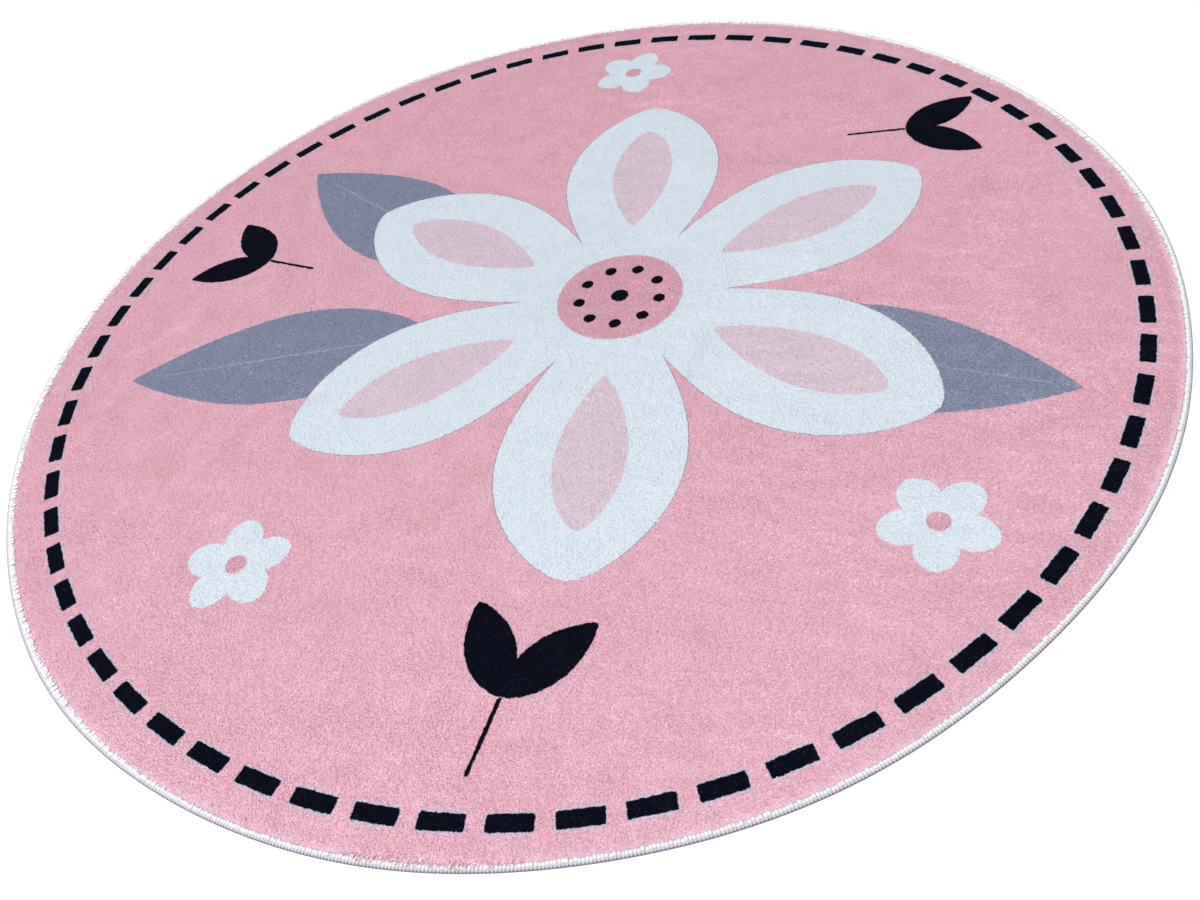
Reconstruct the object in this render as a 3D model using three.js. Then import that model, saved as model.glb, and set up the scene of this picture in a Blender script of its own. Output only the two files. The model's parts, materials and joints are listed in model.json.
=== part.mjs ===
/**
 * Round nursery rug.
 *
 * A one-piece disc of short plush pile on its woven backing, lying flat, with its cut edge
 * wrapped all round by an overlocked yarn. The rug rests on z = 0 and its middle is the origin.
 * Millimetres, +Z up.
 */
import * as THREE from 'three';

// Driving dimensions
const RUG_DIAMETER = 1600;
const PILE_TOP = 6.5; // backing and brushed pile together
const SHOULDER_WIDTH = 18; // how far in from the edge yarn the pile starts to round down
const EDGE_WIDTH = 9; // what the edge yarn covers, seen from above
const EDGE_HEIGHT = 3.6;
const EDGE_ROUNDING = 1.7; // radius of the edge yarn's outer corners
const YARN_THICKNESS = 1; // one layer of edge yarn round the cut cloth
const SEWING_GAP = 0.3; // clear space between cloth and yarn
const SEGMENTS = 144; // facets round the rug
const ROUNDING_STEPS = 3; // facets in each rounded corner

// The edge wanders a little in and out of a true circle: waves round the rug, how far, and where.
const EDGE_WANDER = [
  { waves: 3, reach: 0.9, start: 2.4 },
  { waves: 5, reach: 0.7, start: 3.6 },
  { waves: 6, reach: 0.8, start: 3.0 },
  { waves: 7, reach: 1.0, start: 0.9 },
  { waves: 8, reach: 0.5, start: 6.1 },
  { waves: 9, reach: 0.4, start: 2.5 },
  { waves: 10, reach: 0.7, start: 2.0 },
  { waves: 11, reach: 0.5, start: 4.1 },
];

// Worked out from them
const rugRadius = RUG_DIAMETER / 2;
const edgeInnerRadius = rugRadius - EDGE_WIDTH;
const clothRadius = edgeInnerRadius - SEWING_GAP; // where the full pile ends
const hemRadius = rugRadius - YARN_THICKNESS - SEWING_GAP; // where the squeezed cut edge ends
const slotBottom = YARN_THICKNESS;
const slotTop = EDGE_HEIGHT - YARN_THICKNESS;
const hemBottom = slotBottom + SEWING_GAP;
const hemTop = slotTop - SEWING_GAP;
const pileEdgeTop = EDGE_HEIGHT - SEWING_GAP; // the pile meets the yarn a little below its crown

/** How far the rug's edge stands out from a true circle at one angle. */
function wander(angle) {
  return EDGE_WANDER.reduce(
    (sum, wave) => sum + wave.reach * Math.sin(wave.waves * angle + wave.start),
    0,
  );
}

/** Turns a profile of radius and height round the Z axis, then lets it wander with the edge. */
function turned(profile) {
  const points = profile.map(([radius, height]) => new THREE.Vector2(radius, height));
  const geometry = new THREE.LatheGeometry(points, SEGMENTS);
  geometry.rotateX(Math.PI / 2);
  const position = geometry.getAttribute('position');
  for (let i = 0; i < position.count; i += 1) {
    const x = position.getX(i);
    const y = position.getY(i);
    const stretch = 1 + wander(Math.atan2(y, x)) / rugRadius;
    position.setXY(i, x * stretch, y * stretch);
  }
  return geometry;
}

/** Points along a rounded corner, a quarter of an ellipse, from one angle in degrees to another. */
function corner({ centre, reachOut, reachUp, from, to }) {
  const [centreRadius, centreHeight] = centre;
  const points = [];
  for (let step = 0; step <= ROUNDING_STEPS; step += 1) {
    const angle = THREE.MathUtils.degToRad(from + ((to - from) * step) / ROUNDING_STEPS);
    points.push([
      centreRadius + reachOut * Math.cos(angle),
      centreHeight + reachUp * Math.sin(angle),
    ]);
  }
  return points;
}

/** A solid with its name and plain finish. */
function piece(name, geometry, color, roughness) {
  const material = new THREE.MeshStandardMaterial({ color, roughness, metalness: 0 });
  const mesh = new THREE.Mesh(geometry, material);
  mesh.name = name;
  return mesh;
}

/** The cloth: backing and pile as one flat disc, squeezed thin where the yarn grips its edge. */
function pileCloth() {
  const shoulder = corner({
    centre: [clothRadius - SHOULDER_WIDTH, pileEdgeTop],
    reachOut: SHOULDER_WIDTH,
    reachUp: PILE_TOP - pileEdgeTop,
    from: 0,
    to: 90,
  });
  const geometry = turned([
    [0, 0],
    [clothRadius, 0],
    [clothRadius, hemBottom],
    [hemRadius, hemBottom],
    [hemRadius, hemTop],
    [clothRadius, hemTop],
    ...shoulder,
    [0, PILE_TOP],
  ]);
  return piece('pile_cloth', geometry, '#e0adbc', 0.95);
}

/** The edge yarn: a rounded band open towards the middle, which holds the cloth's squeezed edge. */
function edgeYarn() {
  const rounded = { reachOut: EDGE_ROUNDING, reachUp: EDGE_ROUNDING };
  const roundCentre = rugRadius - EDGE_ROUNDING;
  const geometry = turned([
    [edgeInnerRadius, 0],
    ...corner({ ...rounded, centre: [roundCentre, EDGE_ROUNDING], from: -90, to: 0 }),
    ...corner({ ...rounded, centre: [roundCentre, EDGE_HEIGHT - EDGE_ROUNDING], from: 0, to: 90 }),
    [edgeInnerRadius, EDGE_HEIGHT],
    [edgeInnerRadius, slotTop],
    [rugRadius - YARN_THICKNESS, slotTop],
    [rugRadius - YARN_THICKNESS, slotBottom],
    [edgeInnerRadius, slotBottom],
    [edgeInnerRadius, 0],
  ]);
  return piece('edge_yarn', geometry, '#f2f3f7', 0.85);
}

const rug = new THREE.Group();
rug.add(pileCloth(), edgeYarn());

export default rug;
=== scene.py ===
"""Round nursery rug: a disc of printed short plush, lying flat, with an overlocked yarn edge.

Run as a script, it builds the rug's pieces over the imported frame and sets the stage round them.
Metres, +Z up. The rug's underside rests on z = 0 and its middle is the origin.
"""

import json
import math

import bmesh
import bpy
from bpy.props import FloatProperty, FloatVectorProperty, IntProperty, PointerProperty
from mathutils import Matrix, Vector, noise

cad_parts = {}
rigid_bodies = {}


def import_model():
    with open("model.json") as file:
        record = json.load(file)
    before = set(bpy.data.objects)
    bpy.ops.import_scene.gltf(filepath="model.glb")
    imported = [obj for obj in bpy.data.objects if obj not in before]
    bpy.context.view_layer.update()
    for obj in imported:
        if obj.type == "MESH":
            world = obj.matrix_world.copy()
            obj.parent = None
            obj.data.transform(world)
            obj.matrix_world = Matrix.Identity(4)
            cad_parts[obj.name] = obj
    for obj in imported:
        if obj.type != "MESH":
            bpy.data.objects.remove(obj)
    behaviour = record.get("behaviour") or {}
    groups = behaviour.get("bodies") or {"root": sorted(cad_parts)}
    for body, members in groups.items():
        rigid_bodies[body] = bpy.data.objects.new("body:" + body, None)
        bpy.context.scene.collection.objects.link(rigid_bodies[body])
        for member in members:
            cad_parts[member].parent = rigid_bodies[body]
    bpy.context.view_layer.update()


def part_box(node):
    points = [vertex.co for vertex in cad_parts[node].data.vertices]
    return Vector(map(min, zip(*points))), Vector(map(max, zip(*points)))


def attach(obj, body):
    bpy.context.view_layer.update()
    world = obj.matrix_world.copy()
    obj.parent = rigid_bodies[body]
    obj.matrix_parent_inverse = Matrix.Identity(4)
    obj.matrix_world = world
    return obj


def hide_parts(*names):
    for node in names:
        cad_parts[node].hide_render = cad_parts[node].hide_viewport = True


bl_info = {
    "name": "Round nursery rug",
    "version": (1, 0, 0),
    "blender": (4, 5, 0),
    "location": "View3D > Sidebar > Rug",
    "description": "Builds a round printed plush rug with an overlocked edge, and its stage",
    "category": "Add Mesh",
}

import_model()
PILE_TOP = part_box("pile_cloth")[1][2]
EDGE_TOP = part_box("edge_yarn")[1][2]

MM = 0.001
MATH = "ShaderNodeMath"
VECTOR = "ShaderNodeVectorMath"
MIX = "ShaderNodeMix"
NOISE = "ShaderNodeTexNoise"
RANGE = "ShaderNodeMapRange"
RANDOM = "FunctionNodeRandomValue"
ROTATE = "ShaderNodeVectorRotate"
ATTRIBUTE = "ShaderNodeAttribute"
STORE = "GeometryNodeStoreNamedAttribute"
MIX_COLOUR = {"data_type": "RGBA", "out": 2}
RANDOM_NUMBER = {"data_type": "FLOAT", "out": 1}
ABOUT_Z = {"rotation_type": "Z_AXIS"}

# The edge wanders in and out of a true circle, as its solid does: waves round the rug, reach in
# millimetres, and where each wave starts.
EDGE_WANDER = (
    {"waves": 3, "reach": 0.9, "start": 2.4},
    {"waves": 5, "reach": 0.7, "start": 3.6},
    {"waves": 6, "reach": 0.8, "start": 3.0},
    {"waves": 7, "reach": 1.0, "start": 0.9},
    {"waves": 8, "reach": 0.5, "start": 6.1},
    {"waves": 9, "reach": 0.4, "start": 2.5},
    {"waves": 10, "reach": 0.7, "start": 2.0},
    {"waves": 11, "reach": 0.5, "start": 4.1},
)

# Soft creases left by folding and rolling, in millimetres: their two ends, their width, and their
# rise. One that rises opens the pile and is painted lighter, and one that sinks, with a minus sign,
# closes it and is painted darker.
CREASES = (
    {"from": (-465, -62), "to": (-345, -32), "width": 7, "rise": 1.3},
    {"from": (-430, -80), "to": (-350, -62), "width": 8, "rise": -0.9},
    {"from": (-515, 48), "to": (-405, 74), "width": 9, "rise": 0.9},
    {"from": (-690, 118), "to": (-560, 186), "width": 9, "rise": 0.9},
    {"from": (125, 94), "to": (255, 98), "width": 6, "rise": 0.7},
    {"from": (74, 190), "to": (90, 60), "width": 8, "rise": -0.5},
    {"from": (40, 282), "to": (140, 288), "width": 10, "rise": -0.5},
    {"from": (236, 318), "to": (300, 238), "width": 8, "rise": -0.9},
    {"from": (290, 246), "to": (440, 172), "width": 9, "rise": -1.0},
    {"from": (262, 350), "to": (312, 382), "width": 9, "rise": -0.8},
    {"from": (170, 486), "to": (262, 448), "width": 9, "rise": 0.9},
    {"from": (248, 460), "to": (338, 372), "width": 9, "rise": 1.2},
    {"from": (150, 300), "to": (260, 190), "width": 26, "rise": 0.5},
    {"from": (120, 590), "to": (200, 655), "width": 6, "rise": -0.5},
    {"from": (335, 455), "to": (455, 545), "width": 6, "rise": -0.5},
    {"from": (592, -8), "to": (690, -52), "width": 9, "rise": 1.2},
    {"from": (585, 42), "to": (640, 4), "width": 8, "rise": -0.8},
    {"from": (372, -132), "to": (470, -258), "width": 7, "rise": 0.7},
    {"from": (318, -20), "to": (366, -112), "width": 8, "rise": 0.6},
    {"from": (118, -236), "to": (176, -104), "width": 8, "rise": -0.8},
    {"from": (228, -296), "to": (290, -346), "width": 7, "rise": -0.9},
    {"from": (440, -152), "to": (540, -164), "width": 10, "rise": -0.6},
    {"from": (200, -210), "to": (330, -262), "width": 7, "rise": 0.6},
    {"from": (-285, -372), "to": (-150, -482), "width": 7, "rise": -0.7},
    {"from": (-440, -412), "to": (-350, -440), "width": 8, "rise": -0.6},
    {"from": (-640, -150), "to": (-470, -330), "width": 6, "rise": 0.4},
    {"from": (-520, -150), "to": (-300, -360), "width": 6, "rise": 0.4},
    {"from": (-560, -420), "to": (-500, -150), "width": 6, "rise": 0.4},
)

# The print, in millimetres and degrees from +X. A leaf shape starts at its stalk end: belly moves
# its widest place outwards as it grows, and a blunt one under 1 has rounder ends.
FLOWER = {"x": 70, "y": -10, "turn": 14, "petals": 6, "heart": 90}
PETAL = {"start": 0, "length": 485, "half_width": 122, "belly": 1.42, "blunt": 0.62}
PETAL_INSIDE = {"start": 160, "length": 255, "half_width": 47, "belly": 1.2, "blunt": 0.62}
SEEDS = {"count": 9, "ring": 58, "radius": 9, "middle": 13}
LEAF = {"start": 0, "length": 450, "half_width": 95, "belly": 0.85, "blunt": 0.85}
LEAVES = (
    {"x": -120, "y": 150, "turn": 126},
    {"x": -200, "y": 10, "turn": 172},
    {"x": 190, "y": -140, "turn": -33},
)
LEAF_RIB = {"start": 40, "length": 380, "half_width": 2.6, "belly": 1, "blunt": 0.3}
BLOSSOM = {"start": 0, "length": 68, "half_width": 25, "belly": 1.2, "blunt": 0.5}
BLOSSOM_PETALS = 5
BLOSSOM_HEART = 14
BLOSSOMS = (
    {"x": -455, "y": -330, "turn": 8},
    {"x": 345, "y": -520, "turn": 30},
    {"x": 190, "y": 590, "turn": 50},
)
SPRIG = {"start": 0, "length": 128, "half_width": 29, "belly": 0.9, "blunt": 0.75}
SPRIG_OPENING = 34
SPRIG_STALK = {"length": 90, "half_width": 3}
SPRIGS = (
    {"x": -150, "y": -600, "turn": 62},
    {"x": 560, "y": 215, "turn": -15},
    {"x": -455, "y": 290, "turn": 145},
)
# The dashed ring was printed a little off the middle, and it drifts out and along in slow waves,
# where the cloth was stretched under the press. Each dash has a pale halo, where the dark ink's
# mask holds the pink ink back.
DASHES = {"x": 6.2, "y": -11.2, "turn": 166.1, "ring": 741.3, "count": 67, "corner": 4}
DRIFT_OUT = (
    {"waves": 1, "reach": 1.1, "start": 3.8},
    {"waves": 2, "reach": 0.8, "start": 2.7},
    {"waves": 3, "reach": 1.9, "start": 0.2},
    {"waves": 4, "reach": 1.7, "start": 1.9},
    {"waves": 5, "reach": 0.9, "start": 1.3},
)
DRIFT_ALONG = (
    {"waves": 1, "reach": 1.1, "start": 2.3},
    {"waves": 2, "reach": 2.4, "start": 4.4},
    {"waves": 3, "reach": 3.9, "start": 2.2},
    {"waves": 5, "reach": 1.7, "start": 2.5},
    {"waves": 6, "reach": 2.5, "start": 0.7},
)
HALO = {"beside": 2.7, "past_ends": 1.3, "softness": 2.2}
PRINT_SOFTNESS = 0.8
# Which way the pile is brushed, and how far single tufts and patches stray from it, in radians.
BRUSHED = math.radians(-75)
WAY_SPREAD = 1.2
# At one place the pile lies brushed out over the edge yarn: its angle round the rug, and how far
# it reaches to either side.
BRUSHED_OVER = {"middle": math.radians(-107), "half": math.radians(7)}
# How much each tuft is lit as its ground faces, and not as the tuft itself does.
UPRIGHT_SHARE = 0.65
# Streaks in the nap: the way they run, in degrees, and how strong they are on either side of the
# rug. On the left a second set crosses the first.
STREAKS = (
    {"turn": -27, "left": 0.2, "right": 0.36},
    {"turn": 58, "left": 0.2, "right": 0.05},
)
# How much painted light the band of yarn under the stitches gets, from this height up. Below it,
# by the floor, it is painted in full shade.
BAND_SHADE = {"top": 0.45, "from": 1.5 * MM}
# The overlock's rows of stitches, in millimetres and degrees. Each has its place in from the rug's
# edge and up from the floor, half of its size, its tilt about the edge and its slant across it. Then
# how far single ones stray, how their sizes vary, how much of them the pile hides on the side that
# it is brushed towards, and how much painted light their crowns get and how much painted shade
# darkens their outer ends.
STITCH_ROWS = (
    {
        "name": "overlock_loops", "in": 5.8, "up": 2.2, "size": (2.9, 2.2, 1.0),
        "tilt": -3, "slant": 14, "stray": 0.35, "share": (0.88, 1.08),
        "covered": 0, "crown": 1, "shade": 0.55,
    },
    {
        "name": "overlock_beads", "in": 2.5, "up": 1.5, "size": (1.6, 1.75, 0.95),
        "tilt": 42, "slant": -14, "stray": 0.12, "share": (0.94, 1.05),
        "covered": 0, "crown": 0.5, "shade": 0.4,
    },
    {
        "name": "overlock_teeth", "in": 9, "up": 2.0, "size": (2.2, 1.8, 0.9),
        "tilt": -3, "slant": 14, "stray": 0.6, "share": (0.88, 1.2),
        "covered": 0.4, "crown": 1, "shade": 0,
    },
)


def linear(colour):
    """Turn an sRGB hex colour into the linear values that shaders take."""
    steps = [int(colour[i : i + 2], 16) / 255 for i in (1, 3, 5)]
    return [s / 12.92 if s <= 0.04045 else ((s + 0.055) / 1.055) ** 2.4 for s in steps]


def length_property(name, description, default):
    """A length in metres that a user can change."""
    return FloatProperty(
        name=name, description=description, default=default, precision=4, unit="LENGTH",
    )


def angle_property(name, description, degrees):
    """An angle that a user can change."""
    return FloatProperty(
        name=name, description=description, default=math.radians(degrees), subtype="ANGLE",
    )


def colour_property(name, description, colour):
    """A colour that a user can change, from its sRGB hex value."""
    return FloatVectorProperty(
        name=name, description=description, subtype="COLOR", size=3, default=linear(colour),
    )


class RugSizes(bpy.types.PropertyGroup):
    """The rug's own sizes."""

    diameter: FloatProperty(
        name="Diameter", description="Across the rug, edge yarn included",
        default=1.6, min=0.5, unit="LENGTH",
    )
    pile_top: length_property("Pile top", "Height of the brushed pile above the floor", PILE_TOP)
    tuft_length: length_property("Tuft length", "Length of one tuft of pile from its root", 2.5 * MM)
    tuft_width: length_property("Tuft width", "Width of one tuft of pile at its tip", 1.25 * MM)
    tuft_lean: angle_property("Tuft lean", "How far the brushed tufts lean over from upright", 60)
    tufts: IntProperty(
        name="Tufts", description="Tufts of pile in each quarter of the rug",
        default=188000, min=1000,
    )
    edge_width: length_property("Edge width", "What the edge yarn covers, seen from above", 9 * MM)
    edge_top: length_property("Edge top", "Height of the overlocked edge above the floor", EDGE_TOP)
    stitches: IntProperty(
        name="Stitches", description="Overlock stitches round the edge",
        default=1337, min=100,
    )
    dash_length: length_property("Dash length", "Length of one printed dash of the border", 50.2 * MM)
    dash_width: length_property("Dash width", "Width of one printed dash of the border", 19.6 * MM)


class RugColours(bpy.types.PropertyGroup):
    """The inks of the print and the colours of the yarns."""

    ground: colour_property("Ground", "Pink of the printed ground", "#E8BBCB")
    ground_deep: colour_property("Deep ground", "Pink where the ground took more ink", "#E7B3C2")
    white: colour_property("White", "Petals and blossoms, which are the bare white pile", "#DEE7EF")
    leaf: colour_property("Leaf", "Grey-lilac of the leaves", "#9096B0")
    leaf_rib: colour_property("Leaf rib", "Paler line down each leaf", "#A4A6BA")
    petal_inside: colour_property("Petal inside", "Dusty pink inside the petals", "#E0CED9")
    blush: colour_property("Blush", "Pink hearts of the flower and the blossoms", "#DFAFBE")
    navy: colour_property("Navy", "Dashes, seeds and sprigs", "#070A1A")
    halo: colour_property("Halo", "Pale rim round each dash", "#CFC8DB")
    outline: colour_property("Outline", "Mauve where the pink ink meets the bare white pile", "#A88CA2")
    yarn: colour_property("Edge yarn", "White of the overlock yarn", "#F4F3F8")
    yarn_groove: colour_property("Yarn grooves", "Lilac shade between neighbouring stitches", "#CBC9D3")
    rim: colour_property(
        "Rim", "Paler pink where the pile bends down to the edge and shows its sides", "#EFCBD8",
    )
    yarn_hollow: colour_property(
        "Yarn hollows", "Shade deep between the stitches and along the floor", "#7C777C",
    )
    roots: colour_property("Roots", "Unprinted white roots of the pile", "#F6EFFA")
    backing: colour_property("Backing", "Undyed woven backing", "#D9D6CF")


class StageSettings(bpy.types.PropertyGroup):
    """The camera's place and lens, and the light."""

    looks_at: FloatVectorProperty(
        name="Looks at", description="The spot on the floor that the camera turns round",
        default=(0.07, -0.3109, 0), subtype="TRANSLATION", unit="LENGTH",
    )
    distance: FloatProperty(
        name="Distance", description="From that spot to the camera", default=1.332, unit="LENGTH",
    )
    elevation: angle_property("Elevation", "How far down the camera looks", 46.76)
    roll: angle_property("Roll", "How far the camera is turned about its line of sight", -14.1)
    lens: FloatProperty(name="Lens", description="Focal length in millimetres", default=32.88)
    shift: FloatProperty(
        name="Shift", description="Sideways shift of the frame, in frame widths", default=-0.0488,
    )
    sky: FloatProperty(name="Sky", description="Strength of the light from all round", default=0.42)
    key: FloatProperty(
        name="Key", description="Strength of the large soft lamp high above the rug", default=2.2,
    )
    key_width: angle_property("Key width", "How wide the lamp looks from the rug", 36)
    key_tilt: angle_property("Key tilt", "How far the lamp hangs towards the rug's near side", 15)
    key_turn: angle_property("Key turn", "How far round from the front, clockwise, the lamp hangs", 25)
    fill: FloatProperty(
        name="Fill", description="Power of the smaller lamp nearer by", default=2.0, unit="POWER",
    )
    fill_place: FloatVectorProperty(
        name="Fill place", description="Where the smaller lamp hangs",
        default=(-0.9, -0.7, 0.9), subtype="TRANSLATION", unit="LENGTH",
    )
    fill_width: FloatProperty(
        name="Fill width", description="Width of the smaller lamp", default=1.5, unit="LENGTH",
    )


# Making and finishing pieces


def new_object(name, mesh, materials):
    """Put a mesh into the scene as a piece, with its materials."""
    piece = bpy.data.objects.new(name, mesh)
    bpy.context.scene.collection.objects.link(piece)
    for material in materials:
        mesh.materials.append(material)
    return piece


def finished(bm, name):
    """Write a bmesh into a new mesh and free it."""
    mesh = bpy.data.meshes.new(name)
    bm.to_mesh(mesh)
    bm.free()
    return mesh


def made_real(piece):
    """Apply a piece's modifiers, so that it holds plain faces."""
    depsgraph = bpy.context.evaluated_depsgraph_get()
    mesh = bpy.data.meshes.new_from_object(
        piece.evaluated_get(depsgraph), preserve_all_data_layers=True, depsgraph=depsgraph
    )
    piece.modifiers.clear()
    piece.data = mesh
    mesh.name = piece.name


def wandered(vertices, diameter):
    """Stretch vertices in or out with the wander of the rug's edge."""
    for v in vertices:
        angle = math.atan2(v.co.y, v.co.x)
        reach = sum(w["reach"] * math.sin(w["waves"] * angle + w["start"]) for w in EDGE_WANDER)
        stretch = 1 + 2 * reach * MM / diameter
        v.co.x *= stretch
        v.co.y *= stretch


def crease_rise(x, y, crease):
    """Height that one crease gives a place, in millimetres: a soft ridge that dies out at its ends."""
    (start_x, start_y), (end_x, end_y) = crease["from"], crease["to"]
    run_x, run_y = end_x - start_x, end_y - start_y
    along = ((x - start_x) * run_x + (y - start_y) * run_y) / (run_x * run_x + run_y * run_y)
    if not 0 < along < 1:
        return 0
    off = math.hypot(x - start_x - run_x * along, y - start_y - run_y * along) / crease["width"]
    return crease["rise"] * math.sin(math.pi * along) ** 0.6 * math.exp(-off * off) if off < 3 else 0


def creased(x, y):
    """Height that all the creases together give a place, in millimetres."""
    return sum(crease_rise(x / MM, y / MM, crease) for crease in CREASES)


def relief(x, y, folds):
    """Height of the lying cloth above the floor at one place, in metres: never under it."""
    # Swells about 0.3 m long and smaller ones of 0.1 m, which die out over the last 55 mm.
    broad = 0.9 * noise.noise(Vector((x * 3.1, y * 3.1, 7.3)))
    small = 0.35 * noise.noise(Vector((x * 11, y * 11, 2.1)))
    held_down = min(max(1 - math.hypot(x, y) / 0.79, 0) / 0.07, 1)
    return max(broad + small + folds + 0.3, 0) * held_down * MM


def turned(rows, start, sweep, steps, diameter):
    """Turn rows of radius and height about the rug's middle, then lay the result in its creases."""
    bm = bmesh.new()
    way = Vector((math.cos(start), math.sin(start), 0))
    line = [bm.verts.new(way * radius + Vector((0, 0, height))) for radius, height in rows]
    edges = [bm.edges.new(pair) for pair in zip(line, line[1:])]
    full = abs(sweep - math.tau) < 1e-6
    bmesh.ops.spin(
        bm, geom=line + edges, cent=(0, 0, 0), axis=(0, 0, 1), angle=sweep, steps=steps,
        use_merge=full, use_normal_flip=False, use_duplicate=False,
    )
    bmesh.ops.remove_doubles(bm, verts=bm.verts, dist=1e-6)
    bmesh.ops.recalc_face_normals(bm, faces=bm.faces)
    fold = bm.verts.layers.float.new("fold")
    for v in bm.verts:
        folds = creased(v.co.x, v.co.y)
        v[fold] = folds
        v.co.z += relief(v.co.x, v.co.y, folds) * min(1, v.co.z / (2 * MM) + 0.6)
    wandered(bm.verts, diameter)
    return bm


def ground_rows(sizes):
    """Radius and height of the pile's ground, from the middle out to where it rounds down."""
    ground = sizes.pile_top - sizes.tuft_length * math.cos(sizes.tuft_lean)
    tucked_under = 0.7 * MM
    below_edge = 2.3 * MM
    rim = sizes.diameter / 2 - sizes.edge_width + tucked_under
    drop = ground - (sizes.edge_top - below_edge)
    spacing = 5 * MM
    shoulder = 24 * MM
    held = 5 * MM
    steps = 8
    count = int((rim - shoulder) / spacing)
    rows = [((rim - shoulder) * i / count, ground) for i in range(count + 1)]
    for step in range(1, steps + 1):
        sunk = (1 - math.cos(step / steps * math.pi)) / 2
        rows.append((rim - held - (shoulder - held) * (1 - step / steps), ground - drop * sunk))
    rows.append((rim, ground - drop))
    return rows


# Shaders and their parts


def add(tree, kind, feeds=(), out=0, **settings):
    """Add a node, set it up, feed its inputs by place or by name, and give one of its outputs."""
    node = tree.nodes.new(kind)
    for name, value in settings.items():
        setattr(node, name, value)
    pairs = feeds.items() if isinstance(feeds, dict) else enumerate(feeds)
    for key, value in pairs:
        if isinstance(value, bpy.types.NodeSocket):
            tree.links.new(value, node.inputs[key])
        else:
            node.inputs[key].default_value = value
    return node.outputs[out] if node.outputs else node


def set_out(tree, spot, place):
    """The spot as seen from a shape's own place and turn."""
    moved = add(tree, VECTOR, (spot, (place["x"], place["y"], 0)), operation="SUBTRACT")
    turn = {"Vector": moved, "Angle": -math.radians(place["turn"])}
    return add(tree, ROTATE, turn, **ABOUT_Z)


def fanned(tree, spot, count):
    """The spot folded into one wedge of a fan about +X, so that a shape there repeats all round."""
    parts = add(tree, "ShaderNodeSeparateXYZ", (spot,)).node.outputs
    angle = add(tree, MATH, (parts["Y"], parts["X"]), operation="ARCTAN2")
    half = math.pi / count
    wrapped = add(tree, MATH, (angle, half, -half), operation="WRAP")
    turn = add(tree, MATH, (wrapped, angle), operation="SUBTRACT")
    feeds = {"Vector": spot, "Angle": turn}
    return add(tree, ROTATE, feeds, **ABOUT_Z)


def inside_leaf(tree, spot, leaf):
    """How far inside a leaf or petal along +X a spot is, in millimetres."""
    parts = add(tree, "ShaderNodeSeparateXYZ", (spot,)).node.outputs
    off = add(tree, MATH, (parts["Y"],), operation="ABSOLUTE")
    past_stalk = add(tree, MATH, (parts["X"], leaf["start"]), operation="SUBTRACT")
    along = add(tree, MATH, (past_stalk, leaf["length"]), operation="DIVIDE", use_clamp=True)
    skewed = add(tree, MATH, (along, leaf["belly"]), operation="POWER")
    half_turn = add(tree, MATH, (skewed, math.pi), operation="MULTIPLY")
    bulge = add(tree, MATH, (half_turn,), operation="SINE", use_clamp=True)
    blunt = add(tree, MATH, (bulge, leaf["blunt"]), operation="POWER")
    reach = add(tree, MATH, (blunt, leaf["half_width"]), operation="MULTIPLY")
    return add(tree, MATH, (reach, off), operation="SUBTRACT")


def inside_disc(tree, spot, radius):
    """How far inside a disc round the spot's origin it is, in millimetres."""
    length = add(tree, VECTOR, (spot,), out=1, operation="LENGTH")
    return add(tree, MATH, (radius, length), operation="SUBTRACT")


def inside_bar(tree, spot, middle, half_length, half_width):
    """How far inside a bar along Y, with its middle on +X, a spot is, in millimetres."""
    moved = add(tree, VECTOR, (spot, (middle, 0, 0)), operation="SUBTRACT")
    size = add(tree, VECTOR, (moved,), operation="ABSOLUTE")
    room = add(tree, VECTOR, ((half_width, half_length, 0), size), operation="SUBTRACT")
    parts = add(tree, "ShaderNodeSeparateXYZ", (room,)).node.outputs
    return add(tree, MATH, (parts["X"], parts["Y"], DASHES["corner"]), operation="SMOOTH_MIN")


def drift(tree, angle, waves):
    """How far slow waves round the rug carry a place at one angle, in millimetres."""
    total = 0
    for wave in waves:
        turns = add(tree, MATH, (angle, wave["waves"], wave["start"]), operation="MULTIPLY_ADD")
        swing = add(tree, MATH, (turns,), operation="SINE")
        total = add(tree, MATH, (swing, wave["reach"], total), operation="MULTIPLY_ADD")
    return total


def inked(tree, under, ink, inside, softness=PRINT_SOFTNESS):
    """Lay one ink over what is there, as far as a shape's inside reaches."""
    cover = add(tree, MATH, (inside, softness), operation="DIVIDE", use_clamp=True)
    return add(tree, MIX, {0: cover, 6: under, 7: ink}, **MIX_COLOUR)


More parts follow.
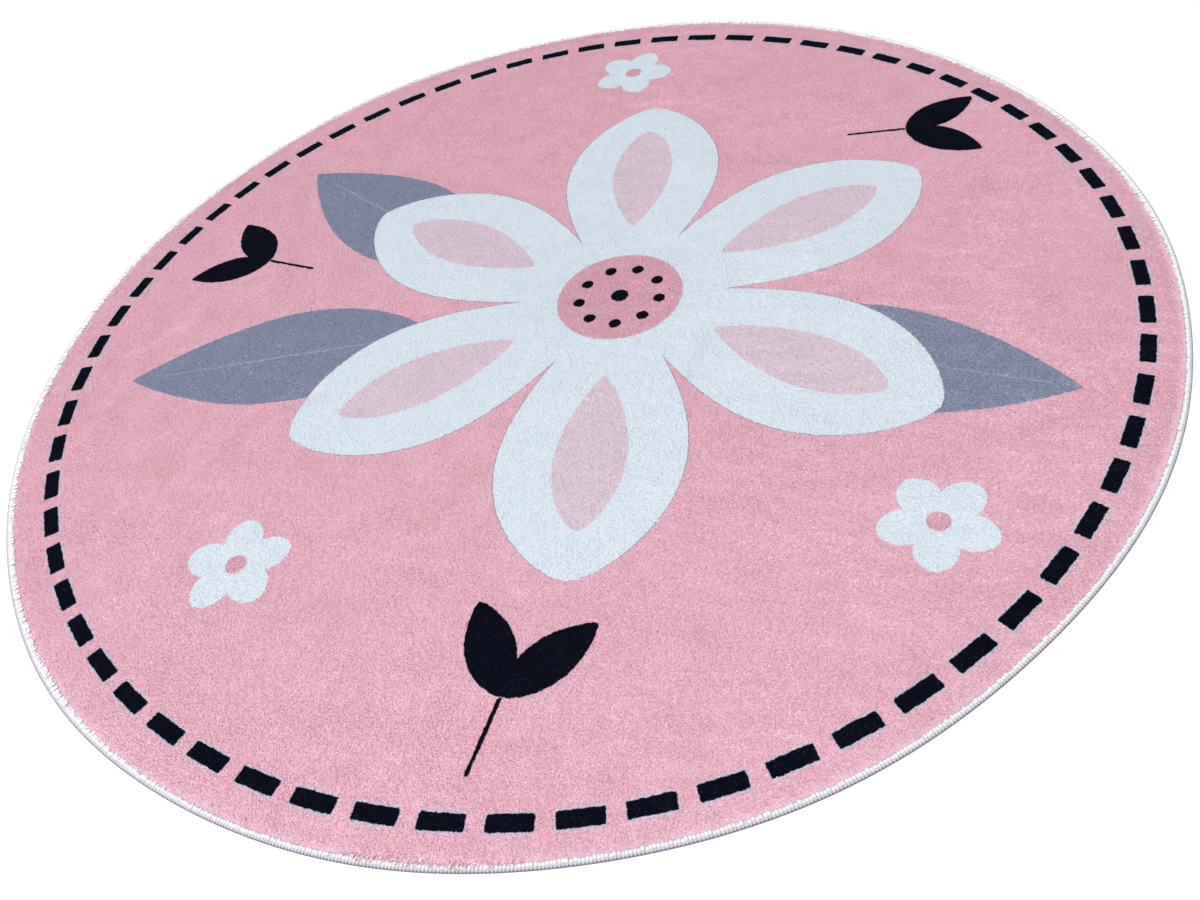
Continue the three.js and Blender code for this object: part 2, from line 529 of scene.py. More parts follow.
def printed_colour(tree, place, sizes, colours):
    """The print's colour at a place on the rug, for a shader and for Geometry Nodes alike."""
    inks = {name: (*getattr(colours, name), 1) for name in RugColours.__annotations__}
    flat = add(tree, VECTOR, (place, (1 / MM, 1 / MM, 0)), operation="MULTIPLY")
    # Fibres carry the ink a little past its line, in waves about 7 mm long.
    feeds = {"Vector": flat, "Scale": 1 / 7, "Detail": 4, "Roughness": 0.75}
    wave = add(tree, NOISE, feeds, out=1)
    centred = add(tree, VECTOR, (wave, (0.5, 0.5, 0)), operation="SUBTRACT")
    spot = add(tree, VECTOR, {0: centred, 1: (5, 5, 0), 2: flat}, operation="MULTIPLY_ADD")

    # The ground takes the pink unevenly, in clouds of about 50 mm with finer mottling.
    feeds = {"Vector": flat, "Scale": 1 / 50, "Detail": 3, "Roughness": 0.55}
    clouds = add(tree, NOISE, feeds)
    limits = {"Value": clouds, "From Min": 0.42, "From Max": 0.72}
    uptake = add(tree, RANGE, limits)
    colour = add(tree, MIX, {0: uptake, 6: inks["ground"], 7: inks["ground_deep"]}, **MIX_COLOUR)

    # The pile bends down over the last few millimetres, in clumps of about 14 mm.
    away = add(tree, VECTOR, (flat,), out=1, operation="LENGTH")
    feeds = {"Vector": flat, "Scale": 1 / 14, "Detail": 3, "Roughness": 0.7}
    clumps = add(tree, NOISE, feeds)
    ragged = add(tree, MATH, (clumps, 24, away), operation="MULTIPLY_ADD")
    limits = {"Value": ragged, "From Min": 795, "From Max": 803, "To Max": 0.75}
    bent = add(tree, RANGE, limits)
    colour = add(tree, MIX, {0: bent, 6: colour, 7: inks["rim"]}, **MIX_COLOUR)

    for leaf in LEAVES:
        local = set_out(tree, spot, leaf)
        colour = inked(tree, colour, inks["leaf"], inside_leaf(tree, local, LEAF))
        colour = inked(tree, colour, inks["leaf_rib"], inside_leaf(tree, local, LEAF_RIB))

    for sprig in SPRIGS:
        local = set_out(tree, spot, sprig)
        mirrored = add(tree, VECTOR, (local, (1, 0, 0)), operation="MULTIPLY")
        size = add(tree, VECTOR, (local,), operation="ABSOLUTE")
        across = add(tree, VECTOR, {0: size, 1: (0, 1, 0), 2: mirrored}, operation="MULTIPLY_ADD")
        feeds = {"Vector": across, "Angle": -math.radians(SPRIG_OPENING)}
        opened = add(tree, ROTATE, feeds, **ABOUT_Z)
        colour = inked(tree, colour, inks["navy"], inside_leaf(tree, opened, SPRIG))
        half = SPRIG_STALK["length"] / 2
        stalk = inside_bar(tree, local, -half, SPRIG_STALK["half_width"], half)
        colour = inked(tree, colour, inks["navy"], stalk)

    local = set_out(tree, spot, FLOWER)
    petal = fanned(tree, local, FLOWER["petals"])
    inside = inside_leaf(tree, petal, PETAL)
    colour = inked(tree, colour, inks["outline"], inside)
    inner = add(tree, MATH, (inside, 1.0), operation="SUBTRACT")
    colour = inked(tree, colour, inks["white"], inner)
    colour = inked(tree, colour, inks["petal_inside"], inside_leaf(tree, petal, PETAL_INSIDE))
    colour = inked(tree, colour, inks["blush"], inside_disc(tree, local, FLOWER["heart"]))
    seed = fanned(tree, local, SEEDS["count"])
    moved = add(tree, VECTOR, (seed, (SEEDS["ring"], 0, 0)), operation="SUBTRACT")
    colour = inked(tree, colour, inks["navy"], inside_disc(tree, moved, SEEDS["radius"]))
    colour = inked(tree, colour, inks["navy"], inside_disc(tree, local, SEEDS["middle"]))

    for blossom in BLOSSOMS:
        local = set_out(tree, spot, blossom)
        petal = fanned(tree, local, BLOSSOM_PETALS)
        colour = inked(tree, colour, inks["white"], inside_leaf(tree, petal, BLOSSOM))
        colour = inked(tree, colour, inks["blush"], inside_disc(tree, local, BLOSSOM_HEART))

    ring = add(tree, VECTOR, (spot, (DASHES["x"], DASHES["y"], 0)), operation="SUBTRACT")
    parts = add(tree, "ShaderNodeSeparateXYZ", (ring,)).node.outputs
    angle = add(tree, MATH, (parts["Y"], parts["X"]), operation="ARCTAN2")
    out = drift(tree, angle, DRIFT_OUT)
    back = add(tree, MATH, (out, -1 / DASHES["ring"], 1.0), operation="MULTIPLY_ADD")
    ring = add(tree, VECTOR, {0: ring, 3: back}, operation="SCALE")
    along = drift(tree, angle, DRIFT_ALONG)
    whole_turn = -math.radians(DASHES["turn"])
    turn = add(tree, MATH, (along, -1 / DASHES["ring"], whole_turn), operation="MULTIPLY_ADD")
    ring = add(tree, ROTATE, {"Vector": ring, "Angle": turn}, **ABOUT_Z)
    dash = fanned(tree, ring, DASHES["count"])
    half_length = sizes.dash_length / MM / 2
    half_width = sizes.dash_width / MM / 2
    inside = inside_bar(tree, dash, DASHES["ring"], half_length, half_width)
    long, wide = half_length + HALO["past_ends"], half_width + HALO["beside"]
    rim = inside_bar(tree, dash, DASHES["ring"], long, wide)
    colour = inked(tree, colour, inks["halo"], rim, HALO["softness"])
    return inked(tree, colour, inks["navy"], inside)


def toned(tree, colour, share):
    """Lighten or darken ink by a share from 0 to 1, less so on white pile, which scatters the light."""
    green = add(tree, "ShaderNodeSeparateColor", (colour,), out="Green")
    feeds = {"Value": green, "From Min": 0.45, "From Max": 0.75, "To Min": 0.54, "To Max": 0.28}
    reach = add(tree, RANGE, feeds)
    centred = add(tree, MATH, (share, 0.5), operation="SUBTRACT")
    level = add(tree, MATH, (centred, reach, 1.0), operation="MULTIPLY_ADD")
    return add(tree, VECTOR, {0: colour, 3: level}, operation="SCALE")


def new_material(name):
    """A material whose tree is still empty, and that tree."""
    material = bpy.data.materials.new(name)
    material.use_nodes = True
    material.node_tree.nodes.clear()
    return material, material.node_tree


def plush_material(sizes, colours):
    """Polyester plush, heat-transfer printed then brushed: matt fibre with a faint silky sheen.

    This one is the ground that shows between the tufts.
    """
    material, tree = new_material("printed_polyester_plush_ground")
    place = add(tree, "ShaderNodeTexCoord", out="Object")
    colour = printed_colour(tree, place, sizes, colours)
    # The fibres are hundredths of a millimetre thick. They are drawn as clumps of 1.1 mm, to show.
    fur = add(tree, NOISE, {"Vector": place, "Scale": 900, "Detail": 2})
    limits = {"Value": fur, "From Min": 0.3, "From Max": 0.7, "To Min": -0.2, "To Max": 0.8}
    share = add(tree, RANGE, limits)
    shade = toned(tree, colour, share)
    bump = add(tree, "ShaderNodeBump", {"Height": fur, "Strength": 0.4, "Distance": 0.6 * MM})
    feeds = {
        "Base Color": shade, "Roughness": 0.9, "IOR": 1.5, "Specular IOR Level": 0.05, "Normal": bump,
    }
    surface = add(tree, "ShaderNodeBsdfPrincipled", feeds)
    add(tree, "ShaderNodeOutputMaterial", {"Surface": surface})
    return material


def tuft_material(sizes, colours):
    """The same plush as tufts: the print lies on their tips, and a few frayed ones show their unprinted
    white fibre, painted paler still as glints of light.
    """
    material, tree = new_material("printed_polyester_plush_tufts")
    place = add(tree, "ShaderNodeTexCoord", out="Object")
    ink = printed_colour(tree, place, sizes, colours)
    tone = add(tree, ATTRIBUTE, out="Fac", attribute_name="tone")
    # Most tufts are much alike; a few stand out paler, on navy as faint blue flecks: frayed tufts that
    # show their unprinted fibre, and painted highlights where tufts catch the light.
    bright = add(tree, MATH, (tone, 3), operation="POWER")
    share = add(tree, MATH, (bright, 0.25), operation="ADD")
    green = add(tree, "ShaderNodeSeparateColor", (ink,), out="Green")
    feeds = {"Value": green, "From Min": 0.1, "From Max": 0.5, "To Min": 0.02, "To Max": 0.42}
    most = add(tree, RANGE, feeds)
    rare = add(tree, MATH, (tone, 7), operation="POWER")
    # Where a fold has opened the pile, its unprinted white roots show between the tips.
    opened = add(tree, ATTRIBUTE, out="Fac", attribute_name="opened")
    roots_and_glints = add(tree, MATH, (opened, tone, rare), operation="MULTIPLY_ADD")
    fray_and_glint = add(tree, MATH, (roots_and_glints, most), operation="MULTIPLY", use_clamp=True)
    roots = (*colours.roots, 1)
    colour = add(tree, MIX, {0: fray_and_glint, 6: toned(tree, ink, share), 7: roots}, **MIX_COLOUR)
    # Painted light and shade: a fold that rises is painted lighter, as its combed-up pile would catch
    # more light, and one that sinks is painted darker.
    fold = add(tree, ATTRIBUTE, out="Fac", attribute_name="fold")
    level = add(tree, MATH, (fold, 0.2, 1), operation="MULTIPLY_ADD")
    colour = add(tree, VECTOR, {0: colour, 3: level}, operation="SCALE")
    feeds = {
        "Base Color": colour, "Roughness": 0.9, "IOR": 1.5, "Specular IOR Level": 0.05,
    }
    surface = add(tree, "ShaderNodeBsdfPrincipled", feeds)
    add(tree, "ShaderNodeOutputMaterial", {"Surface": surface})
    return material


def backing_material(colours):
    """Undyed woven polyester backing: flat threads about 0.8 mm apart, matt."""
    material, tree = new_material("woven_polyester_backing")
    place = add(tree, "ShaderNodeTexCoord", out="Object")
    # Drawn 4 mm apart, because the real 0.8 mm threads are too fine to show.
    feeds = {"Vector": place, "Scale": math.tau / (20 * 4 * MM)}
    warp = add(tree, "ShaderNodeTexWave", feeds, out=1, bands_direction="X")
    weft = add(tree, "ShaderNodeTexWave", feeds, out=1, bands_direction="Y")
    weave = add(tree, MATH, (warp, weft), operation="MULTIPLY")
    # Between the threads the backing is painted a quarter darker: painted shade in the gaps of the
    # weave.
    base = (*colours.backing, 1)
    deep = (*(c * 0.75 for c in colours.backing), 1)
    colour = add(tree, MIX, {0: weave, 6: deep, 7: base}, **MIX_COLOUR)
    bump = add(tree, "ShaderNodeBump", {"Height": weave, "Strength": 0.5, "Distance": 0.2 * MM})
    feeds = {"Base Color": colour, "Roughness": 0.8, "IOR": 1.5, "Normal": bump}
    surface = add(tree, "ShaderNodeBsdfPrincipled", feeds)
    add(tree, "ShaderNodeOutputMaterial", {"Surface": surface})
    return material


def yarn_material(colours):
    """Textured white polyester yarn, overlocked tight: soft fine filaments, with shade painted into its
    grooves and hollows.
    """
    material, tree = new_material("textured_polyester_overlock_yarn")
    place = add(tree, "ShaderNodeTexCoord", out="Object")
    # The filaments are hundredths of a millimetre thick too, and drawn 1.1 mm apart, to show.
    filaments = add(tree, NOISE, {"Vector": place, "Scale": 900, "Detail": 3, "Roughness": 0.6})
    limits = {"Value": filaments, "From Min": 0.3, "From Max": 0.6, "To Min": 0.85}
    thick = add(tree, RANGE, limits)
    # How much painted light each spot of yarn gets, from 1 along a crown down to 0 in full painted
    # shade.
    proud = add(tree, ATTRIBUTE, out="Fac", attribute_name="proud")
    painted_level = add(tree, MATH, (thick, proud), operation="MULTIPLY")
    # Painted shade: from dark painted shade in the deep gaps by the floor, over lilac painted shade in
    # the grooves between stitches, to white on their crests: at what level of painted light each colour
    # starts, and where it has taken over.
    colour = (*colours.yarn_hollow, 1)
    for low, high, shade in ((0.02, 0.3, colours.yarn_groove), (0.4, 0.8, colours.yarn)):
        step = add(tree, RANGE, {"Value": painted_level, "From Min": low, "From Max": high})
        colour = add(tree, MIX, {0: step, 6: colour, 7: (*shade, 1)}, **MIX_COLOUR)
    bump = add(tree, "ShaderNodeBump", {"Height": filaments, "Strength": 0.6, "Distance": 0.4 * MM})
    feeds = {
        "Base Color": colour, "Roughness": 0.75, "IOR": 1.5, "Specular IOR Level": 0.3,
        "Sheen Weight": 0.1, "Sheen Roughness": 0.4, "Normal": bump,
    }
    surface = add(tree, "ShaderNodeBsdfPrincipled", feeds)
    add(tree, "ShaderNodeOutputMaterial", {"Surface": surface})
    return material


def floor_material():
    """White seamless paper: it stays white to the eye and keeps the rug's shadow."""
    material, tree = new_material("white_paper_floor")
    bounced, paper_white, glow = ((*linear(shade), 1) for shade in ("#B3B3B3", "#E7E7E7", "#7C7C7C"))
    seen = add(tree, "ShaderNodeLightPath", out="Is Camera Ray")
    shade = add(tree, MIX, {0: seen, 6: bounced, 7: paper_white}, **MIX_COLOUR)
    feeds = {"Base Color": shade, "Roughness": 1.0, "Specular IOR Level": 0.0}
    paper = add(tree, "ShaderNodeBsdfPrincipled", feeds)
    lift = add(tree, "ShaderNodeEmission", {"Color": glow, "Strength": seen})
    surface = add(tree, "ShaderNodeAddShader", (paper, lift))
    add(tree, "ShaderNodeOutputMaterial", {"Surface": surface})
    return material


# Geometry Nodes


def new_modifier(piece, name):
    """Give a piece an empty Geometry Nodes group, with the group and where its geometry comes in."""
    group = bpy.data.node_groups.new(name, "GeometryNodeTree")
    group.interface.new_socket("Geometry", in_out="INPUT", socket_type="NodeSocketGeometry")
    group.interface.new_socket("Geometry", in_out="OUTPUT", socket_type="NodeSocketGeometry")
    piece.modifiers.new(name, "NODES").node_group = group
    return group, add(group, "NodeGroupInput")


def top_down_map(tree, shape, low, high):
    """Store a flat map of the piece as seen from above, for baking."""
    place = add(tree, "GeometryNodeInputPosition")
    feeds = {"Vector": place, 7: (*low, 0), 8: (*high, 1), 9: (0.01, 0.01, 0), 10: (0.99, 0.99, 1)}
    flat = add(tree, RANGE, feeds, out="Vector", data_type="FLOAT_VECTOR")
    feeds = {"Geometry": shape, "Name": "OFBake", "Value": flat}
    kind = {"data_type": "FLOAT2", "domain": "CORNER"}
    return add(tree, STORE, feeds, **kind)


def tuft_object(sizes):
    """One tuft of pile: a blade that widens to a ragged tip, standing on its root.

    Real tufts are a few tenths of a millimetre wide, too fine to show, so each stands for a clump.
    """
    bm = bmesh.new()
    half = sizes.tuft_width / 2
    root = bm.verts.new((0, 0, 0))
    left = bm.verts.new((0, -half, sizes.tuft_length))
    right = bm.verts.new((0, half, 0.82 * sizes.tuft_length))
    bm.faces.new((root, left, right))
    return new_object("tuft", finished(bm, "tuft"), ())


def pile_tone(tree, place):
    """How light each tuft is, from 0 to 1: by its own, by its clump and by the streaks."""
    # Clumps of about 3 mm share some of their tone.
    clump = add(tree, NOISE, {"Vector": place, "Scale": 350, "Detail": 1})
    limits = {"Value": clump, "From Min": 0.35, "From Max": 0.65, "To Min": -0.4, "To Max": 0.4}
    clump = add(tree, RANGE, limits)
    single = add(tree, RANDOM, {2: 0, 3: 1, "Seed": 3}, **RANDOM_NUMBER)
    tone = add(tree, MATH, (single, clump), operation="ADD")
    # Rolling left fine streaks in the nap, about 16 mm wide and 70 mm long.
    side = add(tree, "ShaderNodeSeparateXYZ", (place,))
    for streaks in STREAKS:
        feeds = {"Vector": place, "Angle": -math.radians(streaks["turn"])}
        line = add(tree, ROTATE, feeds, **ABOUT_Z)
        line = add(tree, VECTOR, (line, (14, 62, 1)), operation="MULTIPLY")
        streak = add(tree, NOISE, {"Vector": line, "Scale": 1, "Detail": 2, "Distortion": 0.5})
        limits = {"Value": streak, "From Min": 0.3, "From Max": 0.7, "To Min": -1}
        streak = add(tree, RANGE, limits)
        limits = {"Value": side, "From Min": -0.15, "From Max": 0.15}
        limits.update({"To Min": streaks["left"], "To Max": streaks["right"]})
        reach = add(tree, RANGE, limits)
        tone = add(tree, MATH, (streak, reach, tone), operation="MULTIPLY_ADD")
    return add(tree, MATH, (tone, 0), operation="ADD", use_clamp=True)


def pile_opening(tree, place):
    """How far the pile is opened at each tuft, by a rising fold or by a small scuff."""
    patch = add(tree, NOISE, {"Vector": place, "Scale": 40, "Detail": 3, "Roughness": 0.6})
    limits = {"Value": patch, "From Min": 0.62, "From Max": 0.75, "To Max": 0.7}
    scuff = add(tree, RANGE, limits)
    folds = add(tree, "GeometryNodeInputNamedAttribute", {"Name": "fold"}, data_type="FLOAT")
    return add(tree, MATH, (folds, 0.4, scuff), operation="MULTIPLY_ADD", use_clamp=True)


def pile_way(tree, place):
    """Which way each tuft is brushed: it changes in patches of about 200 mm."""
    patch = add(tree, NOISE, {"Vector": place, "Scale": 5, "Detail": 3, "Roughness": 0.6})
    stray = add(tree, RANDOM, {2: -WAY_SPREAD, 3: WAY_SPREAD, "Seed": 5}, **RANDOM_NUMBER)
    limits = {"Value": patch, "From Min": 0.3, "From Max": 0.7}
    limits.update({"To Min": BRUSHED - WAY_SPREAD, "To Max": BRUSHED + WAY_SPREAD})
    way = add(tree, RANGE, limits)
    return add(tree, MATH, (way, stray), operation="ADD")


def pile_turn(tree, place, way, sizes):
    """How each tuft stands: leaning its way, more or less so in patches of 60 mm, and rolled."""
    patch = add(tree, NOISE, {"Vector": place, "Scale": 17, "Detail": 2})
    least, most = sizes.tuft_lean - 0.2, sizes.tuft_lean + 0.2
    stray = add(tree, RANDOM, {2: least, 3: most, "Seed": 7}, **RANDOM_NUMBER)
    limits = {"Value": patch, "From Min": 0.3, "From Max": 0.7, "To Min": -0.07, "To Max": 0.07}
    lean = add(tree, RANGE, limits)
    lean = add(tree, MATH, (lean, stray), operation="ADD")
    euler = add(tree, "ShaderNodeCombineXYZ", {"Y": lean, "Z": way})
    leaning = add(tree, "FunctionNodeEulerToRotation", (euler,))
    roll = add(tree, RANDOM, {2: -0.6, 3: 0.6, "Seed": 13}, **RANDOM_NUMBER)
    roll = add(tree, "ShaderNodeCombineXYZ", {"Z": roll})
    rolled = add(tree, "FunctionNodeEulerToRotation", (roll,))
    return add(tree, "FunctionNodeRotateRotation", (leaning, rolled), rotation_space="LOCAL")


def pile_growth(tree, place, way, radius):
    """Each tuft's size: short close to the edge yarn, but long in clumps where it lies over it."""
    size = add(tree, RANDOM, {2: 0.8, 3: 1.2, "Seed": 17}, **RANDOM_NUMBER)
    away = add(tree, VECTOR, (place,), out=1, operation="LENGTH")
    limits = {"Value": away, "From Min": radius - 14 * MM, "From Max": radius - 11 * MM}
    rim = add(tree, RANGE, limits)
    parts = add(tree, "ShaderNodeSeparateXYZ", (place,)).node.outputs
    round_rug = add(tree, MATH, (parts["Y"], parts["X"]), operation="ARCTAN2")
    off = add(tree, MATH, (round_rug, BRUSHED_OVER["middle"]), operation="SUBTRACT")
    off = add(tree, MATH, (off,), operation="ABSOLUTE")
    half = BRUSHED_OVER["half"]
    limits = {"Value": off, "From Min": 0.8 * half, "From Max": 1.1 * half, "To Min": 1, "To Max": 0}
    over = add(tree, RANGE, limits)
    patch = add(tree, NOISE, {"Vector": place, "Scale": 60, "Detail": 2})
    limits = {"Value": patch, "From Min": 0.35, "From Max": 0.65, "To Min": 0.9, "To Max": 1.7}
    long = add(tree, RANGE, limits)
    off = add(tree, MATH, (way, round_rug), operation="SUBTRACT")
    outwards = add(tree, MATH, (off,), operation="COSINE")
    limits = {"Value": outwards, "From Min": -0.3, "From Max": 0.8, "To Min": -0.2, "To Max": -0.4}
    short = add(tree, RANGE, limits)
    growth = add(tree, MIX, {0: over, 2: short, 3: long})
    grown = add(tree, MATH, (rim, growth, 1), operation="MULTIPLY_ADD")
    return add(tree, MATH, (size, grown), operation="MULTIPLY")


def pile_piece(name, quarter, tuft, sizes, material):
    """One quarter of the pile: tufts set on its ground, leaning the way they were brushed."""
    start = quarter * math.pi / 2
    bm = turned(ground_rows(sizes), start, math.pi / 2, 160, sizes.diameter)
    piece = new_object(name, finished(bm, name), (material,))
    tree, source = new_modifier(piece, "brushed pile")
    radius = sizes.diameter / 2
    density = sizes.tufts / (math.pi * radius * radius / 4)
    apart = math.sqrt(0.7 / density)
    feeds = {"Mesh": source, "Distance Min": apart, "Density Max": 5 * density, "Seed": 11 + quarter}
    points = add(tree, "GeometryNodeDistributePointsOnFaces", feeds, distribute_method="POISSON")
    feeds = {"Geometry": points, "Name": "ground_normal", "Value": points.node.outputs["Normal"]}
    points = add(tree, STORE, feeds, data_type="FLOAT_VECTOR", domain="POINT")
    place = add(tree, "GeometryNodeInputPosition")
    values = {"tone": pile_tone(tree, place), "opened": pile_opening(tree, place)}
    for label, value in values.items():
        feeds = {"Geometry": points, "Name": label, "Value": value}
        points = add(tree, STORE, feeds, data_type="FLOAT", domain="POINT")

    way = pile_way(tree, place)
    feeds = {
        "Points": points,
        "Instance": add(tree, "GeometryNodeObjectInfo", {"Object": tuft}, out="Geometry"),
        "Rotation": pile_turn(tree, place, way, sizes),
        "Scale": pile_growth(tree, place, way, radius),
    }
    tufts = add(tree, "GeometryNodeInstanceOnPoints", feeds)
    tufts = add(tree, "GeometryNodeRealizeInstances", (tufts,))
    tufts = add(tree, "GeometryNodeSetMaterial", {"Geometry": tufts, "Material": material})
    # Light sinks into the pile and comes out soft, as if each tuft faced as its ground does.
    own = add(tree, "GeometryNodeInputNormal", out="True Normal")
    named = {"Name": "ground_normal"}
    ground = add(tree, "GeometryNodeInputNamedAttribute", named, data_type="FLOAT_VECTOR")
    feeds = {0: UPRIGHT_SHARE, 4: own, 5: ground}
    soft = add(tree, MIX, feeds, out=1, data_type="VECTOR")
    feeds = {"Mesh": tufts, "Custom Normal": soft}
    tufts = add(tree, "GeometryNodeSetMeshNormal", feeds, mode="FREE", domain="POINT")
    reach = radius + 6 * MM
    low = [(-reach if edge < 0 else -6 * MM) for edge in quarter_signs(quarter)]
    high = [(reach if edge > 0 else 6 * MM) for edge in quarter_signs(quarter)]
    add(tree, "NodeGroupOutput", (top_down_map(tree, tufts, low, high),))
    made_real(piece)
    return piece


def quarter_signs(quarter):
    """Which way a quarter lies from the rug's middle, along X and along Y."""
    middle = (quarter + 0.5) * math.pi / 2
    return math.copysign(1, math.cos(middle)), math.copysign(1, math.sin(middle))


def stitched_round(piece, stitch, row, sizes, material):
    """Set one stitch shape out all round the edge, each a little off its place, and join them."""
    tree, _ = new_modifier(piece, "stitches")
    feeds = {"Vertices": sizes.stitches, "Radius": sizes.diameter / 2}
    ring = add(tree, "GeometryNodeMeshCircle", feeds)
    place = add(tree, "GeometryNodeInputPosition")
    parts = add(tree, "ShaderNodeSeparateXYZ", (place,)).node.outputs
    angle = add(tree, MATH, (parts["Y"], parts["X"]), operation="ARCTAN2")
    stray = add(tree, RANDOM, {2: -0.05, 3: 0.05, "Seed": 23}, **RANDOM_NUMBER)
    way = add(tree, MATH, (angle, stray), operation="ADD")
    turn = add(tree, "ShaderNodeCombineXYZ", {"Z": way})
    rotation = add(tree, "FunctionNodeEulerToRotation", (turn,))
    jitter = row["stray"] * MM
    offset = {0: [-jitter] * 3, 1: [jitter] * 3, "Seed": 29}
    offset = add(tree, RANDOM, offset, data_type="FLOAT_VECTOR")
    ring = add(tree, "GeometryNodeSetPosition", {"Geometry": ring, "Offset": offset})
    shape = add(tree, "GeometryNodeObjectInfo", {"Object": stitch}, out="Geometry")
    least, most = row["share"]
    size = add(tree, RANDOM, {2: least, 3: most, "Seed": 31}, **RANDOM_NUMBER)
    # Some rows sink under the pile on the side that it is brushed towards.
    off = add(tree, MATH, (angle, BRUSHED), operation="SUBTRACT")
    facing = add(tree, MATH, (off,), operation="COSINE")
    limits = {"Value": facing, "From Min": 0.3, "From Max": 0.8}
    limits.update({"To Min": 1, "To Max": 1 - row["covered"]})
    size = add(tree, MATH, (size, add(tree, RANGE, limits)), operation="MULTIPLY")
    feeds = {"Points": ring, "Instance": shape, "Rotation": rotation, "Scale": size}
    stitches = add(tree, "GeometryNodeInstanceOnPoints", feeds)
    stitches = add(tree, "GeometryNodeRealizeInstances", (stitches,))
    stitches = add(tree, "GeometryNodeSetMaterial", {"Geometry": stitches, "Material": material})
    reach = sizes.diameter / 2 + 4 * MM
    mapped = top_down_map(tree, stitches, [-reach] * 2, [reach] * 2)
    add(tree, "NodeGroupOutput", (mapped,))
    made_real(piece)
    wandered(piece.data.vertices, sizes.diameter)
    piece.data.shade_smooth()
    bpy.data.objects.remove(stitch)


def band_rows(sizes):
    """Section of the band of yarn under the stitches: its foot, flat top and sloping outside."""
    radius = sizes.diameter / 2
    inner = radius - sizes.edge_width + 0.4 * MM
    outer = radius - 0.8 * MM
    return [
        (inner, 1.4 * MM), (inner + 1 * MM, 2.4 * MM), (outer - 2.6 * MM, 2.4 * MM),
        (outer - 1.2 * MM, 1.0 * MM), (outer, 0.6 * MM), (outer, 0.1 * MM), (inner, 0.1 * MM),
    ]


def stitch_object(row):
    """One stitch of yarn, egg-shaped: tilted about the edge's line, and slanted across it."""
    bm = bmesh.new()
    bmesh.ops.create_uvsphere(bm, u_segments=6, v_segments=5, radius=1)
    bmesh.ops.rotate(bm, matrix=Matrix.Rotation(math.pi / 2, 3, "Y"), verts=bm.verts)
    proud = bm.verts.layers.float.new("proud")
    for v in bm.verts:
        # Painted light and shade: a stitch is painted brightest along its crown, and darker at its
        # sides and its outer end, where shade falls.
        sides = 0.25 * v.co.y ** 2
        outer_end = max(v.co.x + 0.1, 0)
        v[proud] = max(row["crown"] - sides - row["shade"] * outer_end, 0)
    slant = Matrix.Rotation(math.radians(row["slant"]), 3, "Z")
    tilt = Matrix.Rotation(math.radians(row["tilt"]), 3, "Y")
    bmesh.ops.scale(bm, vec=Vector(row["size"]) * MM, verts=bm.verts)
    bmesh.ops.rotate(bm, matrix=slant, verts=bm.verts)
    bmesh.ops.rotate(bm, matrix=tilt, verts=bm.verts)
    bmesh.ops.translate(bm, vec=Vector((-row["in"], 0, row["up"])) * MM, verts=bm.verts)
    return new_object("stitch", finished(bm, "stitch"), ())


def declare(piece):
    """Say what a finished piece rides on: the body named root."""
    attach(piece, "root")


class RUG_OT_pile(bpy.types.Operator):
    """Set the pile's tufts, a quarter of the rug at a time"""

    bl_idname = "rug.pile"
    bl_label = "Pile"

    def execute(self, context):
        sizes = context.scene.rug_sizes
        material = tuft_material(sizes, context.scene.rug_colours)
        tuft = tuft_object(sizes)
        for quarter in range(4):
            piece = pile_piece(f"pile_{quarter + 1}", quarter, tuft, sizes, material)
            declare(piece)
        bpy.data.objects.remove(tuft)
        return {"FINISHED"}


class RUG_OT_edge(bpy.types.Operator):
    """Sew the overlocked edge: a band of yarn, its loops and the rows either side of them"""

    bl_idname = "rug.edge"
    bl_label = "Overlocked edge"

    def execute(self, context):
        sizes = context.scene.rug_sizes
        material = yarn_material(context.scene.rug_colours)
        rows = band_rows(sizes)
        bm = turned(rows + rows[:1], 0, math.tau, 360, sizes.diameter)
        # The band's top is painted mostly in the grooves' lilac shade, and its foot by the floor in
        # dark painted shade.
        proud = bm.verts.layers.float.new("proud")
        for v in bm.verts:
            v[proud] = BAND_SHADE["top"] if v.co.z > BAND_SHADE["from"] else 0
        band = new_object("overlock_band", finished(bm, "overlock_band"), (material,))
        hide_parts("edge_yarn")
        declare(band)

        for row in STITCH_ROWS:
            piece = new_object(row["name"], bpy.data.meshes.new(row["name"]), (material,))
            stitched_round(piece, stitch_object(row), row, sizes, material)
            declare(piece)
        return {"FINISHED"}


class RUG_OT_cloth(bpy.types.Operator):
    """Lay the cloth that carries the pile, a thin disc with its soft creases"""

    bl_idname = "rug.cloth"
    bl_label = "Cloth"

    def execute(self, context):
        sizes = context.scene.rug_sizes
        colours = context.scene.rug_colours
        rows = ground_rows(sizes)
        rim = rows[-1][0]
        rows += [(rim + 0.2 * MM, 1.4 * MM), (rim, 0.5 * MM), (rim - 2 * MM, 0), (0, 0)]
        bm = turned(rows, 0, math.tau, 288, sizes.diameter)
        for face in bm.faces:
            face.smooth = True
            face.material_index = 1 if face.normal.z < -0.5 else 0
        materials = (plush_material(sizes, colours), backing_material(colours))
        cloth = new_object("printed_plush", finished(bm, "printed_plush"), materials)
        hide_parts("pile_cloth")
        declare(cloth)
        others = [o for o in context.scene.objects if o.name.startswith(("pile_", "overlock_"))]
        others = [o for o in others if o.name != "pile_cloth"]
        return {"FINISHED"}


